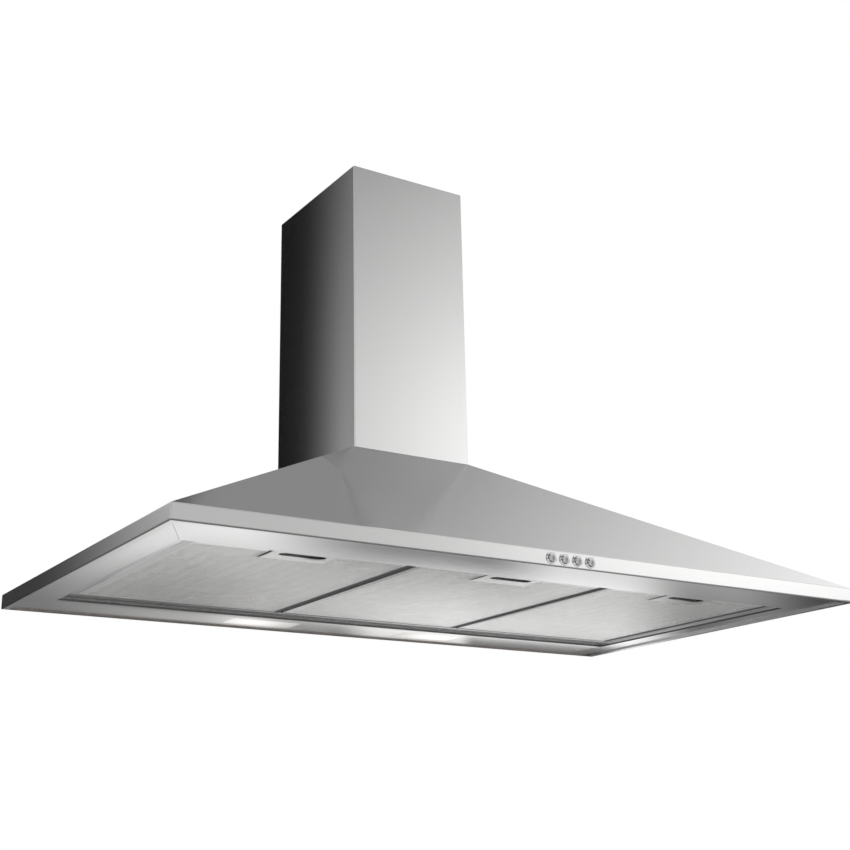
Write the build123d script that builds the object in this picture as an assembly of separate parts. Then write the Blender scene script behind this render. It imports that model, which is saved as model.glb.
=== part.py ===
from build123d import *
import os
from math import atan2, cos, pi, radians, sin, tan

# A wall-hung pyramid chimney hood, in millimetres.
# Origin: on the wall plane, at the middle of the hood's lower edge. +X right, +Y into the wall, +Z up.

# Canopy
hood_width = 900
hood_depth = 510
fascia_height = 17
pyramid_height = 184
skin = 1.0  # stainless sheet of the canopy
bend_radius = 1.5
hem_height = 2.0  # folded lower edge of the fascia
hem_width = 8
neck_height = 11  # upstand that the chimney cover slips over
back_sheet = 1.2
hanging_hole_x = 75
hanging_hole_drop = 18  # below the blower deck
hanging_hole_radius = 4.5
safety_hole_x = 250
safety_hole_z = 60
safety_hole_radius = 3
fit = 0.2  # gap between sheet parts that are pushed together

# Chimney
chimney_width = 172
chimney_depth = 210
chimney_sheet = 0.8
chimney_lip = 12  # folded rear edges of the covers
lower_cover_height = 390
upper_cover_height = 376
upper_cover_recess = 1  # the nested cover's top edge below the outer one's
telescope_gap = 0.6
vent_count = 5
vent_length = 46
vent_height = 4
vent_pitch = 9
vent_drop = 60  # first slot below the cover's top
bracket_height = 30
bracket_sheet = 1.5
bracket_arm = 32
bracket_drop = 12  # bracket below the cover's top
bracket_hole_x = 45
bracket_hole_radius = 2.75
rivet_radius = 1.85
rivet_y = -20

# Underside
tray_sheet = 1.0
border_side = 42
border_front = 78
lamp_strip = 75
ledge_rise = 4.0  # step from the border up to the ledge round the filters
ledge_side = 11.5
ledge_front = 8.5
ledge_rear = 24.5
rail_width = 12
rail_gap = 1.5  # from the filters' top to the bridges between them

# Grease filters
filter_count = 3
filter_gap = 4
filter_side_gap = 2.5
filter_edge_gap = 2
filter_thickness = 9
filter_sheet = 0.8
filter_lip = 9
filter_drop = 1.0  # how far the filters stand below the ledge
tab_width = 30
tab_offset = 80
tab_length = 13.5
tab_thickness = 1.2
mesh_pack = 2.4  # the pressed layers in the middle
mesh_rim = 3  # the folded edge that fills the frame's channel
mesh_flute_count = 13
mesh_flute_depth = 0.6

# Filter latch
handle_length = 80
handle_depth = 37
handle_shift = -2  # the handle's middle from the filter's middle
finger_slot_length = 54
finger_slot_width = 12
finger_slot_shift = 4
finger_slot_edge = 6  # from the handle's front wall to the slot
guide_slot_length = 32
guide_slot_width = 3
guide_slot_edge = 4  # from the handle's end to the slot's middle
latch_travel = 6
latch_plate = 1.2
latch_depth = 23
tongue_width = 26
tongue_gap = 0.4  # from the tongue's tip to the ledge's edge
tongue_lift = 1.0  # above the ledge's top
latch_play = 0.3

# Controls
button_count = 4
button_pitch = 17.6
buttons_middle = 8
button_radius = 4.9
button_travel = 3
button_stand = 4.5
button_bevel = 1.2
bezel_width = 1.4
bezel_stand = 1.6
bezel_play = 0.3
stem_width = 4.0
stem_length = 13
switch_gap = 6  # from the fascia's face to the switch block
switch_depth = 20
running_play = 0.06

# Lamps
lamp_offset = 125
lens_length = 96
lens_width = 40
lens_flange = 4
lens_thickness = 2.4
panel_screw_radius = 1.5
panel_screw_edge = 12  # from the lamp panel's end
lamp_housing_height = 47
lamp_rise = 24  # lamp's middle above the panel
bulb_radius = 17.5
bulb_length = 74
bulb_cap_radius = 7
bulb_cap_length = 20
socket_radius = 12
socket_length = 28

# Blower
impeller_radius = 62
impeller_width = 75
blade_width = 12
blade_count = 30
blade_thickness = 0.9
blade_bow = 0.03  # the blade's hollow and its lead at the tip, as shares of its width
blade_lead = 0.14
scroll_sheet = 1.2
scroll_side_gap = 5  # impeller to the scroll's side walls
scroll_cutoff = 5  # impeller to the scroll where its spiral starts
scroll_growth = 33  # how much wider the spiral is at its mouth
scroll_start_angle = 15  # degrees from straight up, towards the wall
blower_wall_gap = 31  # wall to the circle that the spiral starts from
blower_drop = 78  # shaft below the deck
shaft_radius = 4
hub_radius = 12
hub_length = 28
motor_radius = 44
motor_length = 58
motor_stack = 30  # the laminations between the end bells
motor_plate_sheet = 1.5
motor_hole = 30
inlet_step = 2  # the inlet's radius from the drum's
nut_radius = 7
nut_height = 6
deck_height = 15  # top of the canopy down to the blower deck
flange_width = 10
screw_radius = 2

# Duct collar
collar_radius = 60
collar_sheet = 1.2
collar_length = 40
collar_wall_gap = 60
collar_flats = 5  # bends in each corner of that change
collar_neck = 43  # height of the change from the scroll's mouth to the round collar
flap_pin_radius = 1.5
flap_sheet = 1.0
flap_play = 1.2
flap_height = 10  # pin above the collar's lower end
flap_seat = 3.5

# Wiring
gland_radius = 9
gland_bore = 4.2
gland_height = 16
gland_x = 70
gland_y = -30
box_length = 78
box_width = 48
box_height = 27
box_sheet = 2.0

# Places that follow from the sizes above
canopy_top = fascia_height + pyramid_height
front = -hood_depth
half_width = hood_width / 2
side_slope = atan2(pyramid_height, half_width - chimney_width / 2)
front_slope = atan2(pyramid_height, hood_depth - chimney_depth)
ledge_z = hem_height + ledge_rise
ledge_top = ledge_z + tray_sheet
recess_x = half_width - border_side
recess_front = front + border_front
opening_x = recess_x - ledge_side
opening_front = recess_front + ledge_front
opening_rear = -lamp_strip - ledge_rear
filter_width = (2 * (opening_x - filter_side_gap) - (filter_count - 1) * filter_gap) / filter_count
filter_pitch = filter_width + filter_gap
filter_front = opening_front + filter_edge_gap
filter_rear = opening_rear - filter_edge_gap
filter_z = ledge_z - filter_drop
filter_top = filter_z + filter_thickness
filter_centres = [(i - (filter_count - 1) / 2) * filter_pitch for i in range(filter_count)]
handle_front = filter_front + filter_sheet + fit
handle_rear = handle_front + handle_depth
slot_y = handle_front + finger_slot_edge + finger_slot_width / 2
latch_z = ledge_top + tongue_lift
latch_half = finger_slot_length / 2 + 3
latch_front = handle_front + filter_sheet + latch_play
latch_rear = latch_front + latch_depth
tongue_middle = handle_shift + finger_slot_shift

lamp_bay_x = recess_x - 4
lamp_panel_front = -lamp_strip + tray_sheet + fit
lens_y = -lamp_strip / 2
panel_screw_x = lamp_bay_x - panel_screw_edge
lamp_z = hem_height + tray_sheet + lamp_rise

button_z = fascia_height / 2 + 0.5
bezel_radius = button_radius + bezel_play + bezel_width
switch_front = front + switch_gap

deck_z = canopy_top - deck_height
hanging_hole_z = deck_z - hanging_hole_drop
scroll_half = impeller_width / 2 + scroll_side_gap
impeller_eye = impeller_radius - blade_width
inlet_radius = impeller_eye - inlet_step
hub_end = impeller_width / 2 - hub_length
scroll_start = impeller_radius + scroll_cutoff
scroll_end = scroll_start + scroll_growth
blower_y = -scroll_start - blower_wall_gap
blower_z = deck_z - blower_drop
mouth_y = (blower_y - scroll_end, blower_y + scroll_start * sin(radians(scroll_start_angle)))
motor_start = scroll_half + scroll_sheet + motor_plate_sheet
collar_y = -collar_radius - collar_wall_gap
collar_low = deck_z + back_sheet
collar_base_top = collar_low + collar_sheet
collar_start = collar_base_top + collar_neck
flap_z = collar_start + flap_height

upper_half = chimney_width / 2 - chimney_sheet - telescope_gap
upper_front = -chimney_depth + chimney_sheet + telescope_gap
upper_back = -chimney_sheet - telescope_gap
upper_top = canopy_top + lower_cover_height - upper_cover_recess
bracket_z = upper_top - bracket_drop - bracket_height / 2


def block(x, y, z):
    """A box from its low and high planes on each axis."""
    size = [high - low for low, high in (x, y, z)]
    middle = [(high + low) / 2 for low, high in (x, y, z)]
    return Pos(*middle) * Box(*size)


def both_sides(shape):
    """A shape and its mirror image about the middle of the hood."""
    return shape + mirror(shape, about=Plane.YZ)


def rod(radius, start, direction, length):
    """A round bar from a point along a direction."""
    return extrude(Plane(origin=start, z_dir=direction) * Circle(radius), amount=length)


def hexagon_screw(point, direction, length):
    """A screw whose six-sided head seats at the point and whose shank runs along the direction."""
    head_height = 1.4 * screw_radius
    head = Pos(0, 0, -head_height) * extrude(RegularPolygon(2 * screw_radius, 6), amount=head_height)
    shank = rod(screw_radius, (0, 0, -0.1), (0, 0, 1), length + 0.1)
    return Plane(origin=point, z_dir=direction).location * (head + shank)


def level_rectangle(z, half, near, far=0):
    """A level rectangle, half as wide each way as given, between two depths."""
    return Pos(0, (near + far) / 2, z) * Rectangle(2 * half, far - near)


def canopy_space(inset, open_rear=0):
    """The solid space of the fascia and pyramid, with its walls moved in square to themselves.

    It is what the hood's front view and side view, each drawn as an outline, have in common.
    """
    wide, crown_x = half_width - inset, chimney_width / 2 - inset / sin(side_slope)
    near, crown_y = front + inset, -chimney_depth + inset / sin(front_slope)
    side_crease = canopy_top - (wide - crown_x) * tan(side_slope)
    front_crease = canopy_top - (crown_y - near) * tan(front_slope)
    front_half = Polyline(
        (0, 0), (wide, 0), (wide, side_crease), (crown_x, canopy_top), (0, canopy_top), close=True
    )
    side_outline = Polyline(
        (open_rear, 0), (near, 0), (near, front_crease), (crown_y, canopy_top), (open_rear, canopy_top), close=True
    )
    across = both_sides(extrude(Plane.XZ * make_face(front_half), amount=hood_depth + 10, both=True))
    along = extrude(Plane.YZ * make_face(side_outline), amount=hood_width, both=True)
    return across & along


def chimney_channel(outside, front_y, back_y, sheet, z):
    """A folded channel, open towards the wall, with its two rear edges turned in."""
    shell = block((-outside, outside), (front_y, back_y), z)
    corners = shell.edges().filter_by(Axis.Z).group_by(Axis.Y)[0]
    shell = fillet(corners, bend_radius)
    inside = outside - sheet
    hollow_z = (z[0] - 1, z[1] + 1)
    shell -= block((-inside, inside), (front_y + sheet, back_y - sheet), hollow_z)
    mouth = outside - chimney_lip
    return shell - block((-mouth, mouth), (back_y - 2 * sheet, back_y + 1), hollow_z)


# Canopy


def canopy_skin():
    """The visible stainless pyramid, its fascia with a folded hem, and the neck for the chimney."""
    outer = canopy_space(0)
    level = outer.edges().filter_by_position(Axis.Z, fascia_height, fascia_height)
    crease = [e for e in level if e.center().Y < -1]
    uprights = outer.edges().filter_by(Axis.Z).group_by(Axis.Y)[0]
    hips = [e for e in outer.edges() if abs(e.tangent_at(0.5).Y) > 0.1 and abs(e.tangent_at(0.5).Z) > 0.1]
    outer = fillet([*crease, *uprights, *hips], bend_radius)
    shell = outer - canopy_space(skin, open_rear=5)
    hem = block((-half_width, half_width), (front, 0), (0, hem_height))
    corners = hem.edges().filter_by(Axis.Z).group_by(Axis.Y)[0]
    hem = fillet(corners, bend_radius)
    hem_x = half_width - hem_width
    hem -= block((-hem_x, hem_x), (front + hem_width, 5), (-1, hem_height + 1))
    neck_x = chimney_width / 2 - chimney_sheet - fit
    neck_front = -chimney_depth + chimney_sheet + fit
    neck_rear = -chimney_sheet - fit
    neck = block((-neck_x, neck_x), (neck_front, neck_rear), (canopy_top - 0.5, canopy_top + neck_height))
    neck -= block(
        (-neck_x + skin, neck_x - skin),
        (neck_front + skin, 5),
        (canopy_top - 5, canopy_top + neck_height + 1),
    )
    shell = shell + hem + neck
    for x in button_places():
        shell -= rod(button_radius + bezel_play, (x, front - 5, button_z), (0, 1, 0), 10)
    return shell


def rear_panel():
    """The galvanised back plate, with two hanging holes and two lower holes for safety screws."""
    panel = canopy_space(skin + fit)
    panel &= block((-half_width, half_width), (-back_sheet, 0), (hem_height, canopy_top - 1))
    foot_x = half_width - hem_width - fit
    panel += block((-foot_x, foot_x), (-back_sheet, 0), (0, hem_height))
    holes = rod(hanging_hole_radius, (hanging_hole_x, -5, hanging_hole_z), (0, 1, 0), 10)
    holes += rod(safety_hole_radius, (safety_hole_x, -5, safety_hole_z), (0, 1, 0), 10)
    return panel - both_sides(holes)


def tray_frame():
    """The underside: a flat border, a step up, and the ledge round the filter opening."""
    edge_gap = skin + fit
    border_x = half_width - edge_gap
    rear_y = -back_sheet - fit
    border_z = (hem_height, hem_height + tray_sheet)
    border = block((-border_x, border_x), (front + edge_gap, rear_y), border_z)
    recess = block((-recess_x, recess_x), (recess_front, -lamp_strip), (0, 20))
    lamp_bay = block((-lamp_bay_x, lamp_bay_x), (-lamp_strip - tray_sheet, 5), (0, 20))
    step_x = (-recess_x - tray_sheet, recess_x + tray_sheet)
    step_y = (recess_front - tray_sheet, -lamp_strip + tray_sheet)
    step = block(step_x, step_y, (hem_height, ledge_top)) - recess
    ledge = block(step_x, step_y, (ledge_z, ledge_top))
    ledge -= block((-opening_x, opening_x), (opening_front, opening_rear), (0, 20))
    lug_z = (border_z[1], border_z[1] + 1.5)
    lug = block((panel_screw_x - 7, lamp_bay_x + 9), (lens_y - 9, lens_y + 9), lug_z)
    lug -= rod(panel_screw_radius + 0.05, (panel_screw_x, lens_y, 0), (0, 0, 1), 20)
    return (border - recess - lamp_bay) + step + ledge + both_sides(lug)


def lens_opening(clearance=0):
    """The cut for one lamp lens, through the lamp panel."""
    half, deep = lens_length / 2 - clearance, lens_width / 2 - clearance
    x, y = (lamp_offset - half, lamp_offset + half), (lens_y - deep, lens_y + deep)
    cut = block(x, y, (hem_height - 1, hem_height + 5))
    return fillet(cut.edges().filter_by(Axis.Z), 4)


def lamp_panel():
    """The rear strip that carries the two lamps."""
    x = (-lamp_bay_x + fit, lamp_bay_x - fit)
    y = (lamp_panel_front, -back_sheet - fit)
    panel = block(x, y, (hem_height, hem_height + tray_sheet))
    upstand = block(x, (lamp_panel_front, lamp_panel_front + tray_sheet), (hem_height, ledge_top))
    panel += upstand
    return panel - both_sides(lens_opening() + panel_screw(0.05))


def panel_screw(clearance=0):
    """A flush screw up through the lamp panel, or with a clearance the cut for its head."""
    radius = panel_screw_radius + clearance
    head = Pos(0, 0, tray_sheet / 2) * Cone(2 * radius, radius, tray_sheet)
    shank = rod(radius, (0, 0, 0.5 * tray_sheet), (0, 0, 1), 6)
    return Pos(panel_screw_x, lens_y, hem_height) * (head + shank)


def lamp_lens(side):
    """A frosted lens whose face fills its opening and whose flange lies on the panel."""
    top = hem_height + tray_sheet
    face = lens_opening(fit) & block((0, half_width), (-100, 0), (hem_height + 0.2, top))
    half, deep = lens_length / 2 + lens_flange, lens_width / 2 + lens_flange
    flange = block(
        (lamp_offset - half, lamp_offset + half),
        (lens_y - deep, lens_y + deep),
        (top, top + lens_thickness),
    )
    flange = chamfer(flange.edges().filter_by(Axis.Z), 4)
    lens = face + flange
    return lens if side > 0 else mirror(lens, about=Plane.YZ)


def lamp_housings():
    """Two folded reflector boxes, one over each lamp."""
    sheet = chimney_sheet
    low = hem_height + tray_sheet
    high = low + lamp_housing_height
    x = (lamp_offset - lens_length / 2 - 30, lamp_offset + lens_length / 2 + 7)
    y = (lamp_panel_front + tray_sheet + 1.5, -back_sheet - 1.5)
    shell = block(x, y, (low, high))
    shell = chamfer(shell.edges().filter_by(Axis.X).group_by(Axis.Z)[-1], 12)
    hollow_x, hollow_y = (x[0] + sheet, x[1] - sheet), (y[0] + sheet, y[1] - sheet)
    hollow = block(hollow_x, hollow_y, (low - 1, high - sheet))
    shell -= chamfer(hollow.edges().filter_by(Axis.X).group_by(Axis.Z)[-1], 12 - sheet / 2)
    return both_sides(shell)


def lamp_bulb(side):
    """A small candle lamp lying along the hood: screw cap and a tapering glass."""
    glass = lamp_offset - bulb_length / 2
    cap = glass - bulb_cap_length
    outline = [(glass + bulb_length, 0), (cap, 0), (cap, bulb_cap_radius), (glass, bulb_cap_radius)]
    for along, share in ((0.2, 0.95), (0.36, 1), (0.68, 0.7), (0.94, 0.2)):
        outline.append((glass + along * bulb_length, share * bulb_radius))
    bulb = Pos(0, lens_y, lamp_z) * revolve(make_face(Polyline(*outline, close=True)), axis=Axis.X)
    return bulb if side > 0 else mirror(bulb, about=Plane.YZ)


def lamp_sockets():
    """Two lamp holders, each on a foot that hangs from the reflector channel."""
    mouth = lamp_offset - bulb_length / 2 - 1
    start = mouth - socket_length
    socket = rod(socket_radius, (start, lens_y, lamp_z), (1, 0, 0), socket_length)
    bore_start = mouth - bulb_cap_length + 1 - fit
    socket -= rod(bulb_cap_radius + 0.1, (bore_start, lens_y, lamp_z), (1, 0, 0), 50)
    roof = hem_height + tray_sheet + lamp_housing_height - chimney_sheet
    foot = block((start, start + 6), (lens_y - 8, lens_y + 8), (lamp_z + socket_radius - 2, roof))
    return both_sides(socket + foot)


def filter_rails():
    """Two bridges between the filters, standing on the ledge."""
    x = filter_pitch / 2
    span_x = (x - rail_width / 2, x + rail_width / 2)
    high = filter_top + rail_gap
    near, far = recess_front + 2, -lamp_strip - 2
    rail = block(span_x, (near, far), (high, high + tray_sheet))
    rail += block(span_x, (near, near + tray_sheet), (ledge_top, high + tray_sheet))
    rail += block(span_x, (far - tray_sheet, far), (ledge_top, high + tray_sheet))
    return both_sides(rail)


# Grease filters

def tongue_slot(width_play):
    """The slot that the latch tongue runs through, in the filter's front wall."""
    half = tongue_width / 2 + width_play
    x = (tongue_middle - half, tongue_middle + half)
    z = (latch_z - latch_play, latch_z + latch_plate + latch_play)
    return block(x, (filter_front - 1, handle_front + 2), z)


def filter_frame(centre):
    """A folded aluminium channel round the mesh, with two rear tabs and room for the handle."""
    half = filter_width / 2
    z = (filter_z, filter_top)
    frame = block((-half, half), (filter_front, filter_rear), z)
    frame -= block(
        (-half + filter_sheet, half - filter_sheet),
        (filter_front + filter_sheet, filter_rear - filter_sheet),
        (filter_z + filter_sheet, filter_top - filter_sheet),
    )
    window_x = half - filter_lip
    window_y = (filter_front + filter_lip, filter_rear - filter_lip)
    frame -= block((-window_x, window_x), window_y, (filter_z - 1, filter_top + 1))
    handle_x = (handle_shift - handle_length / 2 - fit, handle_shift + handle_length / 2 + fit)
    notch_y = (filter_front + filter_sheet, filter_front + filter_lip + 1)
    frame -= block(handle_x, notch_y, (filter_z - 1, filter_z + 2))
    frame -= tongue_slot(latch_play)
    tab_z = (ledge_top + fit, ledge_top + fit + tab_thickness)
    tab = block(
        (tab_offset - tab_width / 2, tab_offset + tab_width / 2),
        (filter_rear - filter_sheet, filter_rear + tab_length),
        tab_z,
    )
    tab = chamfer(tab.edges().filter_by(Axis.Z).group_by(Axis.Y)[-1], 3)
    return Pos(centre, 0, 0) * (frame + both_sides(tab))


def filter_mesh(centre):
    """The pack of expanded aluminium layers: a folded rim and shallow flutes, cut out round the handle."""
    gap = filter_sheet + fit
    half = filter_width / 2 - gap
    y = (filter_front + gap, filter_rear - gap)
    pack = block((-half, half), y, (filter_z + gap, filter_top - gap))
    inner_y = (y[0] + mesh_rim, y[1] - mesh_rim)
    pack -= block((-half + mesh_rim, half - mesh_rim), inner_y, (filter_z + gap + mesh_pack, 30))
    handle_x = (handle_shift - handle_length / 2 - fit, handle_shift + handle_length / 2 + fit)
    pack -= block(handle_x, (filter_front, handle_rear + fit), (0, 30))
    window = filter_width - 2 * filter_lip
    pitch = window / mesh_flute_count
    flute_y = (handle_rear + 6, filter_rear - filter_lip - 6)
    for i in range(mesh_flute_count):
        x = (i - (mesh_flute_count - 1) / 2) * pitch
        low = filter_z + gap
        pack -= block((x - pitch / 5, x + pitch / 5), flute_y, (low - 1, low + mesh_flute_depth))
    return Pos(centre, 0, 0) * pack


def latch_base(centre):
    """The handle cup in the filter's front edge: finger slot, guide slot, and ribs for the latch."""
    sheet = filter_sheet
    x = (handle_shift - handle_length / 2, handle_shift + handle_length / 2)
    z = (filter_z, filter_top - filter_sheet - fit)
    cup = block(x, (handle_front, handle_rear), z)
    cup -= block(
        (x[0] + sheet, x[1] - sheet),
        (handle_front + sheet, handle_rear - sheet),
        (filter_z + sheet, filter_top),
    )
    finger = extrude(SlotOverall(finger_slot_length, finger_slot_width), amount=3, both=True)
    cup -= Pos(tongue_middle, slot_y, filter_z) * finger
    guide_x, guide_y = x[0] + guide_slot_edge, (handle_front + handle_rear) / 2
    cup -= Pos(guide_x, guide_y, filter_z) * Box(guide_slot_width, guide_slot_length, 3)
    cup -= tongue_slot(latch_play)
    rib_y = (handle_front + sheet / 2, latch_rear + latch_travel)
    for side in (-1, 1):
        under = tongue_middle + side * (latch_half - 2)
        beside = tongue_middle + side * (latch_half + latch_play + 0.5)
        cup += block((under - 1, under + 1), rib_y, (filter_z + sheet / 2, latch_z - 0.1))
        cup += block((beside - 0.5, beside + 0.5), rib_y, (filter_z + sheet / 2, latch_z + latch_plate))
    return Pos(centre, 0, 0) * cup


def filter_latch(centre):
    """The spring plate: a frame round the finger slot, a tongue to the front, a grip for the finger."""
    z = (latch_z, latch_z + latch_plate)
    plate = block((tongue_middle - latch_half, tongue_middle + latch_half), (latch_front, latch_rear), z)
    plate -= Pos(tongue_middle, slot_y, latch_z) * Box(finger_slot_length, finger_slot_width, 6)
    tongue_x = (tongue_middle - tongue_width / 2, tongue_middle + tongue_width / 2)
    tongue = block(tongue_x, (opening_front + tongue_gap, latch_front + 1), z)
    tongue = chamfer(tongue.edges().filter_by(Axis.Z).group_by(Axis.Y)[0], 2)
    grip_half = finger_slot_length / 2 - 5
    grip_back = slot_y + finger_slot_width / 2 + 0.2
    grip = block(
        (tongue_middle - grip_half, tongue_middle + grip_half),
        (grip_back - latch_plate, grip_back),
        (filter_z + filter_sheet + latch_play, latch_z + latch_plate),
    )
    return Pos(centre, 0, 0) * (plate + tongue + grip)


# Controls

def button_places():
    """The middles of the buttons along the fascia."""
    middle = (button_count - 1) / 2
    return [buttons_middle + (i - middle) * button_pitch for i in range(button_count)]


def push_button(x):
    """A round button with a bevelled face, on a square stem."""
    face = front - button_stand
    back = front + button_travel / 2 - 0.2
    cap = rod(button_radius, (x, face, button_z), (0, 1, 0), back - face)
    rim = cap.edges().filter_by(GeomType.CIRCLE).group_by(Axis.Y)[0]
    half = stem_width / 2
    stem_y = (back - 1, back + stem_length + switch_gap)
    stem = block((x - half, x + half), stem_y, (button_z - half, button_z + half))
    return chamfer(rim, button_bevel) + stem


def button_bezels():
    """Bright rings round the buttons, each with a bevelled outer edge."""
    rings = Part()
    for x in button_places():
        start = (x, front - bezel_stand, button_z)
        ring = rod(bezel_radius, start, (0, 1, 0), bezel_stand)
        ring = chamfer(ring.edges().filter_by(GeomType.CIRCLE).group_by(Axis.Y)[0], bezel_width / 2)
        rings += ring - rod(button_radius + bezel_play, start, (0, 1, 0), bezel_stand)
    return rings


def switch_block():
    """The switch body behind the fascia, with a bore for each stem and two ears."""
    half = button_count * button_pitch / 2 + 4
    x = (buttons_middle - half, buttons_middle + half)
    low = hem_height + tray_sheet
    body = block(x, (switch_front, switch_front + switch_depth), (low, fascia_height - 1.5))
    for ear in ((x[0] - 8, x[0] + 1), (x[1] - 1, x[1] + 8)):
        body += block(ear, (front + skin, switch_front + 3), (low, fascia_height - 1.5))
    bore = stem_width / 2 + running_play
    bore_y = (switch_front - 1, switch_front + stem_length + button_travel + 2)
    for place in button_places():
        body -= block((place - bore, place + bore), bore_y, (button_z - bore, button_z + bore))
    return body


# Blower


def scroll_profile(wall):
    """The side view of the scroll's inside, grown by a wall: a spiral that opens into a straight mouth."""
    arcs = 4
    sweep = radians(270 - scroll_start_angle)
    points = []
    for i in range(2 * arcs + 1):
        share = i / (2 * arcs)
        angle = radians(scroll_start_angle) + sweep * share
        radius = scroll_start + scroll_growth * share + wall
        points.append((blower_y + radius * sin(angle), blower_z + radius * cos(angle)))
    spiral = [ThreePointArc(*points[2 * i : 2 * i + 3]) for i in range(arcs)]
    first, last = points[0], points[-1]
    outline = Polyline(last, (last[0], deck_z), (first[0], deck_z), first) + spiral
    return make_face(Plane.YZ * outline)


def mouth_block(grow, z):
    """A block over the scroll's mouth, grown on every side."""
    half = scroll_half + grow
    return block((-half, half), (mouth_y[0] - grow, mouth_y[1] + grow), z)


def blower_screw_places():
    """The two opposite corners where blower, deck and collar are screwed together."""
    edge = flange_width - 4
    return [(-scroll_half - edge, mouth_y[0] - edge), (scroll_half + edge, mouth_y[1] + edge)]


def drill(shape, places, z, radius=screw_radius + 0.1):
    """A shape with upright screw holes."""
    for x, y in places:
        shape -= rod(radius, (x, y, z[0]), (0, 0, 1), z[1] - z[0])
    return shape


def scroll_housing():
    """The sheet scroll: the wrapped band, the wall on the motor's side, and a flange under the deck."""
    outer = extrude(scroll_profile(scroll_sheet), amount=scroll_half + scroll_sheet, both=True)
    outer &= block((-scroll_half, scroll_half + scroll_sheet), (-hood_depth, 0), (0, deck_z))
    inner = extrude(scroll_profile(0), amount=scroll_half, both=True)
    shell = outer - inner - mouth_block(0, (deck_z - 2, deck_z + 1))
    flange = mouth_block(flange_width, (deck_z - scroll_sheet, deck_z))
    flange -= mouth_block(0, (deck_z - 5, deck_z + 1))
    shell += flange
    shell -= rod(motor_hole, (scroll_half - 2, blower_y, blower_z), (1, 0, 0), 10)
    shell = drill_motor_screws(shell, scroll_half - 1, 5)
    return drill(shell, blower_screw_places(), (deck_z - 5, deck_z + 1))


def scroll_inlet_wall():
    """The scroll's wall on the inlet side, with its round opening."""
    plate = extrude(scroll_profile(scroll_sheet), amount=scroll_half + scroll_sheet, both=True)
    x = (-scroll_half - scroll_sheet, -scroll_half)
    plate &= block(x, (-hood_depth, 0), (0, deck_z - scroll_sheet))
    return plate - rod(inlet_radius, (x[0] - 1, blower_y, blower_z), (1, 0, 0), 10)


def inlet_ring():
    """The bell mouth on the scroll's open side: a flat rim, a flare and a short throat."""
    throat = inlet_radius - 6
    face = -scroll_half - scroll_sheet
    profile = Polyline(
        (face + 5, throat),
        (face + 1, throat),
        (face - 1.2, throat + 3),
        (face - 1.2, throat + 14),
        (face, throat + 14),
        (face, throat + 4),
        (face + 1.6, throat + 1.2),
        (face + 5, throat + 1.2),
        close=True,
    )
    return Pos(0, blower_y, blower_z) * revolve(make_face(profile), axis=Axis.X)


def impeller_blade():
    """The section of one forward-curved blade: two arcs a sheet apart, joined at their ends."""
    outer = impeller_radius - 0.5
    width = outer - impeller_eye
    middle = (impeller_eye + outer) / 2
    sides = []
    for offset in (-blade_thickness / 2, blade_thickness / 2):
        start, end = (impeller_eye, offset), (outer, offset + blade_lead * width)
        sides.append((start, (middle, offset - blade_bow * width), end))
    back, face = sides
    outline = ThreePointArc(*back) + ThreePointArc(*face)
    return make_face(outline + [Line(back[0], face[0]), Line(back[2], face[2])])


def impeller():
    """A forward-curved drum fan: hub, back disc, curved blades and a front ring."""
    half = impeller_width / 2
    blade = Pos(0, 0, 1 - half) * extrude(impeller_blade(), amount=impeller_width - 2)
    disc = Pos(0, 0, half - 1) * Cylinder(impeller_radius, 2)
    ring = Pos(0, 0, 0.9 - half) * (Cylinder(impeller_radius, 1.8) - Cylinder(impeller_eye - 0.5, 3))
    hub = Pos(0, 0, half - hub_length / 2) * Cylinder(hub_radius, hub_length)
    blades = [Rot(0, 0, i * 360 / blade_count) * blade for i in range(blade_count)]
    drum = disc + ring + hub + blades
    drum -= Cylinder(shaft_radius + 0.02, 3 * impeller_width)
    return Pos(0, blower_y, blower_z) * Rot(0, 90, 0) * drum


def motor_shaft():
    """The motor's shaft, through nut, hub and motor."""
    start = hub_end - nut_height - 8
    end = motor_start + motor_length + 5
    return rod(shaft_radius, (start, blower_y, blower_z), (1, 0, 0), end - start)


def impeller_nut():
    """The nut that holds the drum on the shaft."""
    nut = extrude(RegularPolygon(nut_radius, 6), amount=nut_height) - Cylinder(shaft_radius + 0.02, 20)
    return Pos(hub_end - nut_height, blower_y, blower_z) * Rot(0, 90, 0) * nut


def motor_screw_places():
    """Two screws on opposite sides of the motor plate, from the shaft."""
    circle = (motor_hole + motor_radius - 3) / 2
    return [(circle * cos(turn), circle * sin(turn)) for turn in (pi / 4, pi * 5 / 4)]


def drill_motor_screws(shape, start, depth):
    """A shape with the two holes for the motor's screws."""
    for y, z in motor_screw_places():
        shape -= rod(screw_radius + 0.1, (start, blower_y + y, blower_z + z), (1, 0, 0), depth)
    return shape


def motor_plate():
    """The plate between scroll and motor."""
    start = (scroll_half + scroll_sheet, blower_y, blower_z)
    plate = rod(motor_radius + 4, start, (1, 0, 0), motor_plate_sheet)
    plate -= rod(motor_hole - 14, (start[0] - 1, blower_y, blower_z), (1, 0, 0), 5)
    return drill_motor_screws(plate, start[0] - 1, 5)


def motor():
    """The motor's casing: a round stack of laminations between two smaller end bells."""
    body = rod(motor_radius - 3, (motor_start, blower_y, blower_z), (1, 0, 0), motor_length)
    stack_start = motor_start + (motor_length - motor_stack) / 2
    body += rod(motor_radius, (stack_start, blower_y, blower_z), (1, 0, 0), motor_stack)
    line = (motor_start - 1, blower_y, blower_z)
    body -= rod(shaft_radius + running_play, line, (1, 0, 0), motor_length + 2)
    return drill_motor_screws(body, motor_start - 0.5, 9)


def motor_screws():
    """Screws from inside the scroll into the motor."""
    screws = Part()
    for y, z in motor_screw_places():
        screws += hexagon_screw((scroll_half, blower_y + y, blower_z + z), (1, 0, 0), 10)
    return screws


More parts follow.
